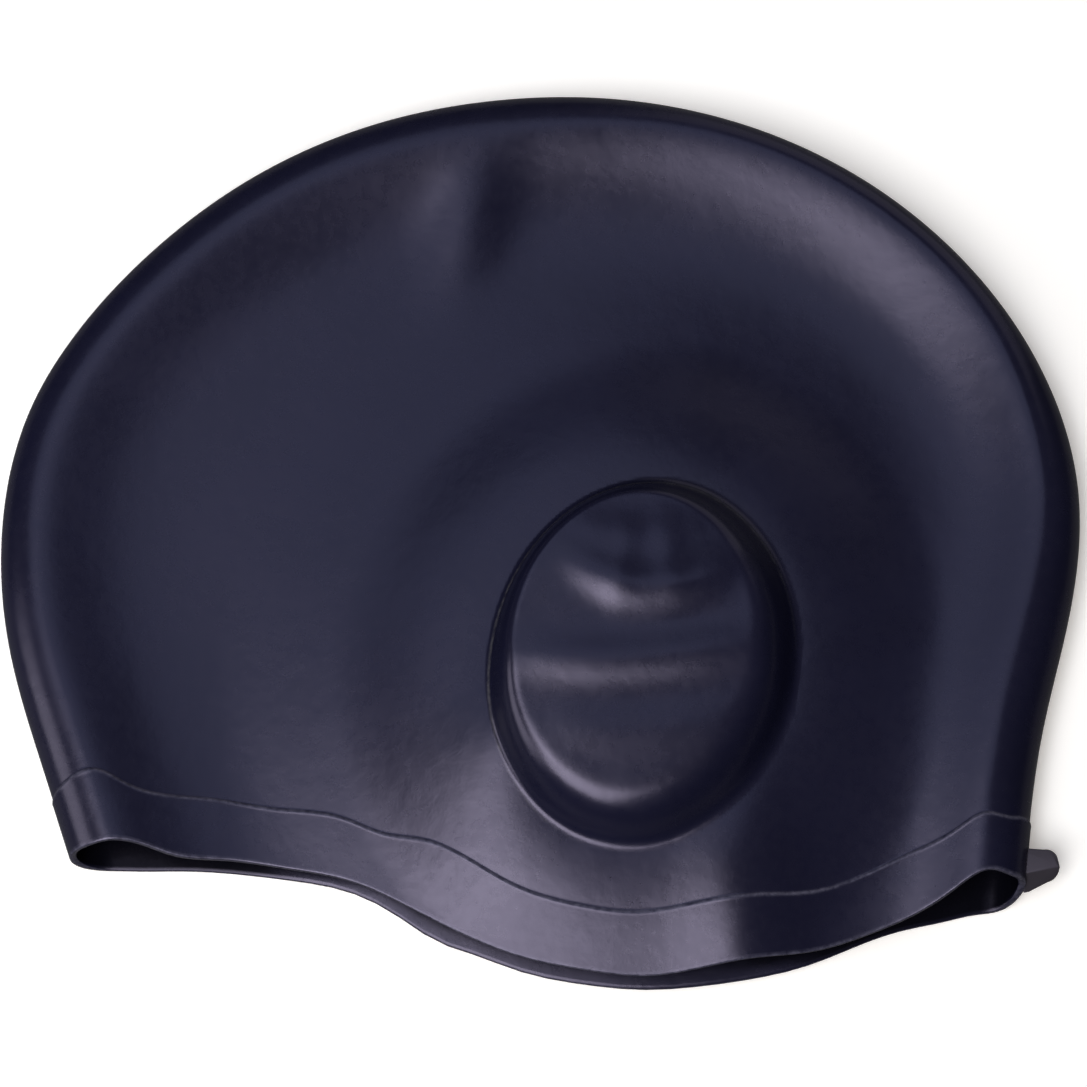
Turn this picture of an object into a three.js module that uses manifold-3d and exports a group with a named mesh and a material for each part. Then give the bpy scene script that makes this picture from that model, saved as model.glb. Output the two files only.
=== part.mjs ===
// A one-piece moulded silicone swim cap with ear pockets, lying folded on its side, in millimetres.
// X runs from the forehead (-X) to the nape (+X), Y from the mouth (-Y) to the crown (+Y), Z up.
// Its two layers meet along a rolled fold, and the origin is on the table under the cap's middle.
import * as THREE from "three";
import Module from "manifold-3d";

// Driving dimensions of the shell
const CAP_LENGTH = 235; // forehead fold to nape fold
const CAP_HEIGHT = 200; // lowest point of the mouth to the crown
const WALL = 1; // silicone of the head part
const LAYER_GAP = 7; // clear space between the layers where they lie flat
const FRONT_FOLD_HEIGHT = 14; // the rolled fold at the forehead
const BACK_FOLD_HEIGHT = 16; // the rolled fold at the nape
const UPPER_ROLL_REACH = 10; // fold edge to the crest of the upper layer
const LOWER_ROLL_REACH = 8; // fold edge to where the lower layer meets the table
const ROLL_FADE = 15; // how fast the crest sinks to the flat middle

// Driving dimensions of the rim band
const BAND_WIDTH = 12.5; // cut edge to the band's top line
const BAND_WALL = 1.6; // silicone of the band
const BAND_STEP = 0.35; // how far the band stands out at its top line
const BAND_EDGE = 0.8; // width of that step
const FRONT_SET_BACK = 2; // how far the upper cut edge lies behind the fold's middle at the forehead
const BACK_SET_BACK = 3.5; // the same at the nape

// Driving dimensions of the ear pockets
const POCKET_LENGTH = 81;
const POCKET_WIDTH = 64;
const POCKET_TURN = THREE.MathUtils.degToRad(11); // its upper end leans towards the nape
const POCKET_TOP_LENGTH = 62;
const POCKET_TOP_WIDTH = 48;
const POCKET_TOP_SHIFT = 3; // its top sits towards the forehead
const POCKET_TOP_RISE = 2.5; // and towards the crown
const POCKET_TILT = 0.05; // slope of the upper pocket's top, up towards the crown
const WALL_POWER = 2.8; // steepness of a pocket's wall at its crease
const UPPER_POCKET_DEPTH = 10.5;
const LOWER_POCKET_DEPTH = 4; // the lower pocket is pressed shallow by the table
const RIPPLE_HEIGHT = 1.2; // folds of the upper pocket's top
const LIFT_REACH = 60; // how far round the lower pocket the cap is lifted off the table
const MOUND_HEIGHT = 3.5; // further rise of the upper layer round its pocket
const MOUND_REACH = 35;

// Driving dimensions of the pull tab
const TAB_LENGTH = 7;
const TAB_ROOT_WIDTH = 9;
const TAB_TIP_WIDTH = 6.5;
const TAB_TIP_RADIUS = 2.5;
const TAB_THICKNESS = 4;
const TAB_BEVEL = 3.5; // how far the face towards the mouth leans out below the top face
const TAB_LEAN = THREE.MathUtils.degToRad(18); // its tip leans towards the crown
const TAB_FROM_CORNER = 3.4; // the mouth's back corner to the tab's middle, along the fold

// Fineness of the surfaces
const UPPER_COLUMNS = 28;
const BODY_ROWS = 26;
const FOLD_STEPS = 240;
const POCKET_SIDES = 44;
const OVERCUT = 2; // how far a hollow runs past the face that it opens

// Fold line from the mouth's front corner over the crown to its back corner.
// x is a share of half CAP_LENGTH and y a share of half CAP_HEIGHT.
const OUTLINE = [
  { x: -0.849, y: -0.741 },
  { x: -0.909, y: -0.54 },
  { x: -0.979, y: -0.276 },
  { x: -1, y: -0.009 },
  { x: -0.954, y: 0.264 },
  { x: -0.889, y: 0.409 },
  { x: -0.761, y: 0.597 },
  { x: -0.537, y: 0.81 },
  { x: -0.309, y: 0.931 },
  { x: -0.079, y: 0.985 },
  { x: 0.152, y: 0.985 },
  { x: 0.382, y: 0.925 },
  { x: 0.61, y: 0.793 },
  { x: 0.837, y: 0.543 },
  { x: 0.943, y: 0.333 },
  { x: 1, y: 0.059 },
  { x: 0.975, y: -0.209 },
  { x: 0.915, y: -0.475 },
  { x: 0.871, y: -0.8 },
];

// Rim band. along is a share of the straight line between the mouth's corners. lower, upper and
// line are the drops below it of the lower edge, the upper edge and the upper layer's band line,
// in shares of half CAP_HEIGHT.
const RIM = [
  { along: 0, lower: 0, upper: 0, line: 0 },
  { along: 0.02, lower: -0.006, upper: -0.004, line: -0.026 },
  { along: 0.045, lower: -0.009, upper: -0.013, line: -0.044 },
  { along: 0.075, lower: -0.01, upper: -0.011, line: -0.021 },
  { along: 0.11, lower: -0.013, upper: 0.005, line: -0.005 },
  { along: 0.16, lower: -0.012, upper: 0.005, line: -0.005 },
  { along: 0.23, lower: -0.001, upper: 0.017, line: 0.011 },
  { along: 0.3, lower: 0.026, upper: 0.043, line: 0.029 },
  { along: 0.34, lower: 0.065, upper: 0.076, line: 0.061 },
  { along: 0.385, lower: 0.12, upper: 0.121, line: 0.079 },
  { along: 0.42, lower: 0.143, upper: 0.154, line: 0.112 },
  { along: 0.47, lower: 0.176, upper: 0.191, line: 0.172 },
  { along: 0.54, lower: 0.2, upper: 0.218, line: 0.216 },
  { along: 0.6, lower: 0.206, upper: 0.227, line: 0.227 },
  { along: 0.65, lower: 0.197, upper: 0.216, line: 0.213 },
  { along: 0.71, lower: 0.176, upper: 0.195, line: 0.195 },
  { along: 0.78, lower: 0.136, upper: 0.163, line: 0.166 },
  { along: 0.84, lower: 0.083, upper: 0.121, line: 0.115 },
  { along: 0.875, lower: 0.058, upper: 0.095, line: 0.084 },
  { along: 0.92, lower: 0.035, upper: 0.051, line: 0.048 },
  { along: 0.95, lower: 0.019, upper: 0.018, line: 0.02 },
  { along: 0.97, lower: 0.014, upper: 0.012, line: 0.024 },
  { along: 0.985, lower: 0.011, upper: 0.012, line: 0.016 },
  { along: 1, lower: 0, upper: 0, line: 0 },
];
const RIM_SHARE = 0.75; // the rim's curve dies out by this share of the way to the crown
const RIM_FADE = 60; // the upper layer meets the lower one's curve this far above its band line

// Soft bulges and dents of the upper layer. x and y are shares of half CAP_LENGTH and half
// CAP_HEIGHT, wide and tall of CAP_LENGTH, turn is in degrees, and rise is a share of LAYER_GAP.
const SWELLS = [
  { x: -0.21, y: 0.74, wide: 0.04, tall: 0.09, turn: -12, rise: 0.25 },
  { x: -0.12, y: 0.72, wide: 0.035, tall: 0.08, turn: -12, rise: -0.25 },
  { x: -0.45, y: 0.2, wide: 0.16, tall: 0.2, turn: 20, rise: 0.15 },
];

const POCKET_WALL_RINGS = [0, 0.16, 0.34, 0.6, 1]; // shares of the way in from the crease to the top
const POCKET_TOP_RINGS = [0.8, 0.6, 0.4, 0.2]; // shares of the top's outline
const POCKET_CENTRE = { x: 0.186, y: -0.324 }; // shares of half CAP_LENGTH and half CAP_HEIGHT

// Ripples of the upper pocket's top. x and y are from its middle; they, long, wide and bow are
// shares of half POCKET_TOP_LENGTH, turn is in degrees, and rise is a share of RIPPLE_HEIGHT.
const RIPPLES = [
  { x: 0.1, y: 0.43, long: 0.55, wide: 0.17, bow: 0.2, turn: 4, rise: 1 },
  { x: -0.03, y: -0.07, long: 0.8, wide: 0.16, bow: 0.06, turn: 4, rise: 1 },
  { x: 0, y: -0.56, long: 0.6, wide: 0.18, bow: 0.05, turn: 3, rise: 0.4 },
  { x: -0.05, y: 0.8, long: 0.45, wide: 0.14, bow: 0.1, turn: 0, rise: 0.35 },
];

const halfLength = CAP_LENGTH / 2;
const halfHeight = CAP_HEIGHT / 2;
const flatHeight = 2 * WALL + LAYER_GAP;
const mix = THREE.MathUtils.lerp;

const wasm = await Module();
wasm.setup();

// Natural cubic spline through the points (xs, ys), as a function of x.
function spline(xs, ys) {
  const last = xs.length - 1;
  const bend = new Array(last + 1).fill(0);
  const carry = new Array(last + 1).fill(0);
  for (let i = 1; i < last; i++) {
    const before = xs[i] - xs[i - 1];
    const after = xs[i + 1] - xs[i];
    const share = before / (before + after);
    const pivot = share * bend[i - 1] + 2;
    const kink = (ys[i + 1] - ys[i]) / after - (ys[i] - ys[i - 1]) / before;
    bend[i] = (share - 1) / pivot;
    carry[i] = ((6 * kink) / (before + after) - share * carry[i - 1]) / pivot;
  }
  for (let i = last - 1; i > 0; i--) {
    bend[i] = bend[i] * bend[i + 1] + carry[i];
  }
  return (x) => {
    let k = 0;
    while (k < last - 1 && x > xs[k + 1]) k++;
    const step = xs[k + 1] - xs[k];
    const a = (xs[k + 1] - x) / step;
    const b = 1 - a;
    const curve = (a ** 3 - a) * bend[k] + (b ** 3 - b) * bend[k + 1];
    return a * ys[k] + b * ys[k + 1] + (curve * step * step) / 6;
  };
}

// Running lengths along a row of points
function runningLengths(points) {
  const lengths = [0];
  for (let i = 1; i < points.length; i++) {
    lengths.push(lengths[i - 1] + points[i].distanceTo(points[i - 1]));
  }
  return lengths;
}

// Fold line as close points, with the length run at each
function makeFoldLine() {
  const knots = OUTLINE.map(({ x, y }) => new THREE.Vector2(x * halfLength, y * halfHeight));
  const at = runningLengths(knots);
  const xOf = spline(at, knots.map((p) => p.x));
  const yOf = spline(at, knots.map((p) => p.y));
  const points = [];
  for (let i = 0; i <= FOLD_STEPS; i++) {
    const s = (at[at.length - 1] * i) / FOLD_STEPS;
    points.push(new THREE.Vector2(xOf(s), yOf(s)));
  }
  return { points, lengths: runningLengths(points) };
}

const foldLine = makeFoldLine();
const foldLength = foldLine.lengths[FOLD_STEPS];

// Point of the fold line at a length from the mouth's front corner
function foldAt(length) {
  const { points, lengths } = foldLine;
  let k = 0;
  while (k < FOLD_STEPS - 1 && length > lengths[k + 1]) k++;
  const share = (length - lengths[k]) / (lengths[k + 1] - lengths[k]);
  return points[k].clone().lerp(points[k + 1], share);
}

// Fold line run on straight past both corners of the mouth, for distances only
const foldPath = (() => {
  const { points } = foldLine;
  const runOn = (corner, next) =>
    corner.clone().sub(next).setLength(halfHeight).add(corner);
  const before = runOn(points[0], points[1]);
  const after = runOn(points[FOLD_STEPS], points[FOLD_STEPS - 1]);
  return [before, ...points, after];
})();

// Plan distance from a point to the fold line
function foldDistance(x, y) {
  let least = Infinity;
  for (let i = 1; i < foldPath.length; i++) {
    const a = foldPath[i - 1];
    const b = foldPath[i];
    const dx = b.x - a.x;
    const dy = b.y - a.y;
    const t = ((x - a.x) * dx + (y - a.y) * dy) / (dx * dx + dy * dy);
    const along = THREE.MathUtils.clamp(t, 0, 1);
    least = Math.min(least, Math.hypot(x - a.x - along * dx, y - a.y - along * dy));
  }
  return least;
}

const rimCurve = (drops) => spline(RIM.map((r) => r.along), drops.map((d) => d * halfHeight));
const lowerEdge = rimCurve(RIM.map((r) => r.lower));
const upperEdge = rimCurve(RIM.map((r) => r.upper));
const upperLine = rimCurve(RIM.map((r) => r.line));

// A point in the pocket's own axes: u across it and v along it
function pocketAxes(x, y) {
  const dx = x - POCKET_CENTRE.x * halfLength;
  const dy = y - POCKET_CENTRE.y * halfHeight;
  const cos = Math.cos(POCKET_TURN);
  const sin = Math.sin(POCKET_TURN);
  return { u: dx * cos - dy * sin, v: dx * sin + dy * cos };
}

// The point of the plan that lies at (u, v) in the pocket's own axes
function pocketPoint(u, v) {
  const cos = Math.cos(POCKET_TURN);
  const sin = Math.sin(POCKET_TURN);
  return new THREE.Vector2(
    POCKET_CENTRE.x * halfLength + u * cos + v * sin,
    POCKET_CENTRE.y * halfHeight - u * sin + v * cos,
  );
}

// Distance of a point outside the pocket's crease, along the line from its middle, or 0 inside it
function beyondPocket(x, y) {
  const { u, v } = pocketAxes(x, y);
  const from = Math.hypot(u, v);
  const edge = from / Math.hypot((2 * u) / POCKET_WIDTH, (2 * v) / POCKET_LENGTH);
  return from > 0 ? Math.max(0, from - edge) : 0;
}

// Height of a rise round the pocket that dies out over its reach
function moundAt(x, y, height, reach) {
  const away = Math.min(1, beyondPocket(x, y) / reach);
  return height * (1 - away * away) ** 2;
}

// Rise of the soft bulges and dents at a point of the upper layer
function swellAt(x, y) {
  let rise = 0;
  for (const swell of SWELLS) {
    const turn = THREE.MathUtils.degToRad(swell.turn);
    const dx = x - swell.x * halfLength;
    const dy = y - swell.y * halfHeight;
    const across = (dx * Math.cos(turn) + dy * Math.sin(turn)) / (swell.wide * CAP_LENGTH);
    const along = (dy * Math.cos(turn) - dx * Math.sin(turn)) / (swell.tall * CAP_LENGTH);
    rise += swell.rise * LAYER_GAP * Math.exp(-(across * across) - along * along);
  }
  return rise;
}

// Share of the way from the forehead to the nape, level at both ends
function shareOfLength(x) {
  return THREE.MathUtils.smoothstep(x, -halfLength, halfLength);
}

// Outer heights of both layers at a point of the plan, and the middle and half height of the fold
function layersAt(x, y, distance = foldDistance(x, y)) {
  const half = mix(FRONT_FOLD_HEIGHT, BACK_FOLD_HEIGHT, shareOfLength(x)) / 2;
  const roll = (reach) => half * Math.sqrt(1 - Math.max(0, 1 - distance / reach) ** 2);
  const past = Math.max(0, distance - UPPER_ROLL_REACH) / ROLL_FADE;
  const settled = 1 - Math.exp(-past * past);
  const sunk = (2 * half - flatHeight - swellAt(x, y)) * settled;
  const lift = moundAt(x, y, LOWER_POCKET_DEPTH, LIFT_REACH);
  return {
    lower: half - roll(LOWER_ROLL_REACH) + lift,
    upper: half + roll(UPPER_ROLL_REACH) - sunk + lift + moundAt(x, y, MOUND_HEIGHT, MOUND_REACH),
    middle: half + lift,
    half,
  };
}

// Rows of the shell by their length along the fold from the mouth's corners, up to the crown
function makeRows() {
  const rows = [
    { length: 0, bulge: BAND_STEP, wall: BAND_WALL },
    { length: BAND_WIDTH / 2, bulge: BAND_STEP, wall: BAND_WALL },
    { length: BAND_WIDTH - BAND_EDGE / 2, bulge: BAND_STEP, wall: BAND_WALL },
    { length: BAND_WIDTH + BAND_EDGE / 2, bulge: 0, wall: WALL },
  ];
  const start = BAND_WIDTH + BAND_EDGE / 2;
  for (let i = 1; i < BODY_ROWS; i++) {
    rows.push({ length: mix(start, foldLength / 2, i / BODY_ROWS), bulge: 0, wall: WALL });
  }
  return rows;
}

// Point of the shell's own surface. turn runs once round the row: 0 at the forehead fold,
// over the upper layer to PI at the nape fold, and back over the lower layer.
function shellPoint(length, turn) {
  const front = foldAt(length);
  const back = foldAt(foldLength - length);
  const along = (1 - Math.cos(turn)) / 2;
  const onUpper = turn <= Math.PI;
  const hold = 1 - THREE.MathUtils.smoothstep(length, BAND_WIDTH, (foldLength / 2) * RIM_SHARE);
  const fade = 1 - THREE.MathUtils.smoothstep(length, BAND_WIDTH, BAND_WIDTH + RIM_FADE);
  const inBand = Math.min(1, length / BAND_WIDTH);
  const upperDrop = mix(upperEdge(along), upperLine(along), inBand) - lowerEdge(along);
  const drop = lowerEdge(along) * hold + (onUpper ? upperDrop * fade : 0);
  const x = mix(front.x, back.x, along);
  const y = mix(front.y, back.y, along) - drop;
  const layers = layersAt(x, y);
  const z = onUpper ? layers.upper : layers.lower;
  const slant = (z - layers.middle) / layers.half;
  const setBack = mix(FRONT_SET_BACK, BACK_SET_BACK, shareOfLength(x));
  return new THREE.Vector3(x, y + setBack * slant * hold, z);
}

// Grid of the shell's surface with the outward direction at each point
function makeGrid(rows) {
  const columns = 2 * UPPER_COLUMNS;
  const points = rows.map(({ length }) =>
    Array.from({ length: columns }, (_, j) => shellPoint(length, (Math.PI * j) / UPPER_COLUMNS)),
  );
  const crown = foldAt(foldLength / 2);
  const pole = new THREE.Vector3(crown.x, crown.y, layersAt(crown.x, crown.y, 0).middle);
  const outward = points.map((row, i) =>
    row.map((point, j) => {
      const round = row[(j + 1) % columns].clone().sub(row[(j + columns - 1) % columns]);
      const above = i + 1 < points.length ? points[i + 1][j] : pole;
      const below = i > 0 ? points[i - 1][j] : point;
      return round.cross(above.clone().sub(below)).normalize();
    }),
  );
  const poleOutward = new THREE.Vector3();
  outward[outward.length - 1].forEach((n) => poleOutward.add(n));
  return { points, outward, pole, poleOutward: poleOutward.normalize(), columns };
}

// Closed solid from rings of points, each ring running round the same way, with an apex past
// its last ring. closing gives the triangles that close its first ring.
function solidFromRings(rings, apex, closing) {
  const count = rings[0].length;
  const flat = rings.flat();
  const triangles = [];
  for (let i = 0; i + 1 < rings.length; i++) {
    for (let j = 0; j < count; j++) {
      const a = i * count + j;
      const b = i * count + ((j + 1) % count);
      triangles.push([a, b, b + count], [a, b + count, a + count]);
    }
  }
  const top = (rings.length - 1) * count;
  for (let j = 0; j < count; j++) {
    triangles.push([top + j, top + ((j + 1) % count), flat.length]);
  }
  const vertices = [...flat, apex];
  closing(count, vertices).forEach((t) => triangles.push(t));
  return new wasm.Manifold(
    new wasm.Mesh({
      numProp: 3,
      vertProperties: new Float32Array(vertices.flatMap((p) => [p.x, p.y, p.z])),
      triVerts: new Uint32Array(triangles.flat()),
    }),
  );
}

// Triangles that close the mouth, as a ladder between the upper and the lower cut edge
function closeMouth(count) {
  const triangles = [];
  for (let j = 0; j < count / 2; j++) {
    const lower = (count - j) % count;
    const nextLower = count - j - 1;
    if (lower !== j) triangles.push([lower, nextLower, j]);
    if (nextLower !== j + 1) triangles.push([nextLower, j + 1, j]);
  }
  return triangles;
}

// Shell without its hollow, and the hollow, which runs on past the mouth
function makeShell() {
  const rows = makeRows();
  const { points, outward, pole, poleOutward } = makeGrid(rows);
  const moved = (offset) =>
    points.map((row, i) =>
      row.map((p, j) => p.clone().addScaledVector(outward[i][j], offset(rows[i]))),
    );
  const outer = moved((row) => row.bulge);
  outer.flat().forEach((p) => (p.z = Math.max(p.z, 0)));
  const inner = moved((row) => row.bulge - row.wall);
  const mouth = inner[0].map((p, j) =>
    p.clone().sub(inner[1][j]).setLength(OVERCUT).add(p),
  );
  return {
    body: solidFromRings(outer, pole, closeMouth),
    hollow: solidFromRings(
      [mouth, ...inner],
      pole.clone().addScaledVector(poleOutward, -WALL),
      closeMouth,
    ),
  };
}

// Height of the ripples at a point of the pocket's top
function rippleAt(x, y) {
  const size = POCKET_TOP_LENGTH / 2;
  let rise = 0;
  for (const ripple of RIPPLES) {
    const turn = THREE.MathUtils.degToRad(ripple.turn);
    const dx = (x - POCKET_CENTRE.x * halfLength) / size - ripple.x;
    const dy = (y - POCKET_CENTRE.y * halfHeight) / size - ripple.y;
    const along = (dx * Math.cos(turn) + dy * Math.sin(turn)) / ripple.long;
    const off = dy * Math.cos(turn) - dx * Math.sin(turn) - ripple.bow * along * along;
    const across = off / ripple.wide;
    rise += ripple.rise * RIPPLE_HEIGHT * Math.exp(-across * across - along ** 4);
  }
  return rise;
}

// Solid of a pocket, or of its hollow when wall is more than 0. side is 1 for the upper layer
// and -1 for the lower one. root is how far it starts inside the layer's outer surface.
function makePocket(side, wall, root) {
  const layerHeight = (x, y) => (side > 0 ? layersAt(x, y).upper : layersAt(x, y).lower);
  const middle = pocketPoint(0, 0);
  const foot = layerHeight(middle.x, middle.y);
  const top = (x, y) => {
    const slope = POCKET_TILT * pocketAxes(x, y).v;
    return side > 0 ? foot + UPPER_POCKET_DEPTH + slope + rippleAt(x, y) - wall : wall;
  };
  const ring = (inward, scale = 1) =>
    Array.from({ length: POCKET_SIDES }, (_, k) => {
      const turn = (2 * Math.PI * k * side) / POCKET_SIDES;
      const across = mix(POCKET_WIDTH, POCKET_TOP_WIDTH, inward) / 2 - wall;
      const along = mix(POCKET_LENGTH, POCKET_TOP_LENGTH, inward) / 2 - wall;
      const u = across * scale * Math.cos(turn) - POCKET_TOP_SHIFT * inward;
      const v = along * scale * Math.sin(turn) + POCKET_TOP_RISE * inward;
      const { x, y } = pocketPoint(u, v);
      const rise = 1 - (1 - inward) ** WALL_POWER;
      return new THREE.Vector3(x, y, mix(layerHeight(x, y) - side * root, top(x, y), rise));
    });
  const rings = [
    ...POCKET_WALL_RINGS.map((inward) => ring(inward)),
    ...POCKET_TOP_RINGS.map((scale) => ring(1, scale)),
  ];
  const tip = pocketPoint(-POCKET_TOP_SHIFT, POCKET_TOP_RISE);
  const apex = new THREE.Vector3(tip.x, tip.y, top(tip.x, tip.y));
  const closing = (count, vertices) => {
    vertices.push(new THREE.Vector3(middle.x, middle.y, foot - side * root));
    return Array.from({ length: count }, (_, j) => [(j + 1) % count, j, vertices.length - 1]);
  };
  return solidFromRings(rings, apex, closing);
}

// Solid of an extruded geometry, by its positions alone
function solidFromGeometry(geometry) {
  const position = geometry.getAttribute("position");
  const seen = new Map();
  const vertices = [];
  const triVerts = [];
  for (let i = 0; i < position.count; i++) {
    const p = new THREE.Vector3().fromBufferAttribute(position, i);
    const key = p.toArray().map((c) => Math.round(c * 1e4)).join();
    if (!seen.has(key)) {
      seen.set(key, seen.size);
      vertices.push(p.x, p.y, p.z);
    }
    triVerts.push(seen.get(key));
  }
  return new wasm.Manifold(
    new wasm.Mesh({
      numProp: 3,
      vertProperties: new Float32Array(vertices),
      triVerts: new Uint32Array(triVerts),
    }),
  );
}

// Solid of an outline pushed from low to high along its own Z, then put in its place
function pushed(outline, low, high, place) {
  const settings = { depth: high - low, bevelEnabled: false, curveSegments: 4 };
  const geometry = new THREE.ExtrudeGeometry(outline, settings);
  return solidFromGeometry(place(geometry.translate(0, 0, low)));
}

// Pull tab: a tongue that tapers to a rounded tip, with its face towards the mouth bevelled
function makeTab() {
  const root = -UPPER_ROLL_REACH / 2;
  const halfRoot = TAB_ROOT_WIDTH / 2;
  const halfTip = TAB_TIP_WIDTH / 2;
  const shoulder = TAB_LENGTH - TAB_TIP_RADIUS;
  const plan = new THREE.Shape();
  plan.moveTo(root, -halfRoot);
  plan.lineTo(0, -halfRoot);
  plan.lineTo(shoulder, -halfTip);
  plan.quadraticCurveTo(TAB_LENGTH, -halfTip, TAB_LENGTH, TAB_TIP_RADIUS - halfTip);
  plan.lineTo(TAB_LENGTH, halfTip - TAB_TIP_RADIUS);
  plan.quadraticCurveTo(TAB_LENGTH, halfTip, shoulder, halfTip);
  plan.lineTo(0, halfRoot);
  plan.lineTo(root, halfRoot);
  const side = new THREE.Shape();
  side.moveTo(halfRoot, -TAB_THICKNESS / 2);
  side.lineTo(halfRoot, TAB_THICKNESS / 2);
  side.lineTo(TAB_BEVEL - halfRoot, TAB_THICKNESS / 2);
  side.lineTo(-halfRoot, -TAB_THICKNESS / 2);
  const seat = foldAt(foldLength - TAB_FROM_CORNER);
  const along = seat.clone().sub(foldAt(foldLength));
  const turn = Math.atan2(along.y, along.x) - Math.PI / 2 + TAB_LEAN;
  const height = layersAt(seat.x, seat.y, 0).middle;
  const seated = (geometry) => geometry.rotateZ(turn).translate(seat.x, seat.y, height);
  const upright = (geometry) => geometry.rotateX(Math.PI / 2).rotateZ(Math.PI / 2);
  return pushed(plan, -TAB_THICKNESS, TAB_THICKNESS, seated).intersect(
    pushed(side, root, TAB_LENGTH, (geometry) => seated(upright(geometry))),
  );
}

// Geometry of a solid's own vertices and triangles
function geometryOf(solid) {
  const mesh = solid.getMesh();
  const geometry = new THREE.BufferGeometry();
  geometry.setAttribute("position", new THREE.BufferAttribute(mesh.vertProperties, 3));
  geometry.setIndex(new THREE.BufferAttribute(mesh.triVerts, 1));
  geometry.computeVertexNormals();
  geometry.computeBoundingBox();
  return geometry;
}

// The whole cap as one solid, with its lowest point on z = 0 and its middle over the origin
function makeCap() {
  const shell = makeShell();
  const solid = shell.body
    .add(makePocket(1, 0, WALL / 2))
    .add(makePocket(-1, 0, WALL / 2))
    .add(makeTab())
    .subtract(shell.hollow)
    .subtract(makePocket(1, WALL, WALL + OVERCUT))
    .subtract(makePocket(-1, WALL, WALL + OVERCUT));
  const silicone = new THREE.MeshStandardMaterial({ color: 0x1c1e35, roughness: 0.5, metalness: 0 });
  const cap = new THREE.Mesh(geometryOf(solid), silicone);
  cap.name = "cap";
  const { min, max } = cap.geometry.boundingBox;
  cap.position.set(-(min.x + max.x) / 2, -(min.y + max.y) / 2, -min.z);
  return cap;
}

const swimCap = new THREE.Group();
swimCap.add(makeCap());

export default swimCap;
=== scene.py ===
"""A moulded silicone swim cap with ear pockets, lying folded on a pale table in soft studio light.

The cap's skin follows the same folds, pockets and rim as the solid that it stands for. All shapes
are worked out in millimetres and written to the meshes in metres. X runs from the forehead to the
nape, Y from the mouth to the crown, and Z up from the table.
"""

import math

import bmesh
import bpy
import numpy as np
from mathutils import Matrix, Vector


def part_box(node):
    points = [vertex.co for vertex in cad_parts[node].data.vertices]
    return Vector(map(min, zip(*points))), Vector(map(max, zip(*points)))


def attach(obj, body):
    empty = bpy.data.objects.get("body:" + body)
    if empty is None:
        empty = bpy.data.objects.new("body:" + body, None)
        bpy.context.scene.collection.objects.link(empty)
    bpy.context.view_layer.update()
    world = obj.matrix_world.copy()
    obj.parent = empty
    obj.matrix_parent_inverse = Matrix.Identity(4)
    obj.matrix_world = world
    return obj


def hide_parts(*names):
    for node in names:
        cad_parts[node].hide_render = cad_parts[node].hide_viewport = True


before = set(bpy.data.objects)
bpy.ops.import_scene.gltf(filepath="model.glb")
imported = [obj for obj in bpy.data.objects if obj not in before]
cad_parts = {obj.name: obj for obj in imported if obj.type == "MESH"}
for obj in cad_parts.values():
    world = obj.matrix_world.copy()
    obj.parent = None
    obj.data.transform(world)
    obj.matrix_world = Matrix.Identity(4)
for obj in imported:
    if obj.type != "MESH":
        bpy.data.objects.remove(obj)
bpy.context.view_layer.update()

MM = 0.001

# Shell
CAP_LENGTH = 235.0
CAP_HEIGHT = 200.0
WALL = 1.0
LAYER_GAP = 7.0
FRONT_FOLD_HEIGHT = 14.0
BACK_FOLD_HEIGHT = 16.0
UPPER_ROLL_REACH = 9.0
LOWER_ROLL_REACH = 8.0
FRONT_FADE = 15.0
BACK_FADE = 14.0
CROWN_ROLL_REACH = 6.0
CROWN_FADE = 16.5
FADE_POWER = 1.5
RIM_SHARE = 0.75
HALF_LENGTH = CAP_LENGTH / 2
HALF_HEIGHT = CAP_HEIGHT / 2
FLAT_HEIGHT = 2 * WALL + LAYER_GAP

# Rim band
BAND_WIDTH = 12.5
BAND_WALL = 1.6
BAND_STEP = 0.35
BAND_EDGE = 0.8
BEAD_HEIGHT = 0.14
BEAD_WIDTH = 0.32
FRONT_SET_BACK = 2.0
BACK_SET_BACK = 3.5
CUT_ROUNDING = 0.25

# Ear pockets
POCKET_LENGTH = 80.0
POCKET_WIDTH = 64.0
POCKET_TURN = math.radians(11)
POCKET_TOP_LENGTH = 62.0
POCKET_TOP_WIDTH = 48.0
POCKET_TOP_SHIFT = 3.0
POCKET_TOP_RISE = 3.2
POCKET_TOP_DROOP = 2.5
POCKET_TILT = 0.05
UPPER_POCKET_DEPTH = 10.5
LOWER_POCKET_DEPTH = 4.0
POCKET_CENTRE = (0.184 * HALF_LENGTH, -0.343 * HALF_HEIGHT)
MOUTH_WALL_POWER = 2.8
CROWN_WALL_POWER = 1.6
CREASE_FILLET = 0.14
RIPPLE_HEIGHT = 1.2
LIFT_REACH = 60.0
MOUND_HEIGHT = 3.5
MOUND_REACH = 35.0

# Pull tab
TAB_LENGTH = 7.0
TAB_ROOT_DEPTH = 1.1
TAB_ROOT_WIDTH = 9.0
TAB_TIP_WIDTH = 6.5
TAB_TIP_RADIUS = 2.5
TAB_THICKNESS = 4.0
TAB_BEVEL = 3.5
TAB_LEAN = math.radians(18)
TAB_FROM_CORNER = 3.4
TAB_EDGE_ROUND = 0.35

# Fold line from the mouth's front corner over the crown to its back corner, in shares of half
# the length and half the height.
OUTLINE = np.array([
    (-0.849, -0.741), (-0.909, -0.54), (-0.979, -0.276), (-1, -0.009), (-0.954, 0.264),
    (-0.889, 0.409), (-0.761, 0.597), (-0.537, 0.81), (-0.309, 0.931), (-0.079, 0.985),
    (0.152, 0.985), (0.382, 0.925), (0.61, 0.793), (0.837, 0.543), (0.943, 0.333),
    (1, 0.059), (0.975, -0.209), (0.915, -0.475), (0.871, -0.8),
])

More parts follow.
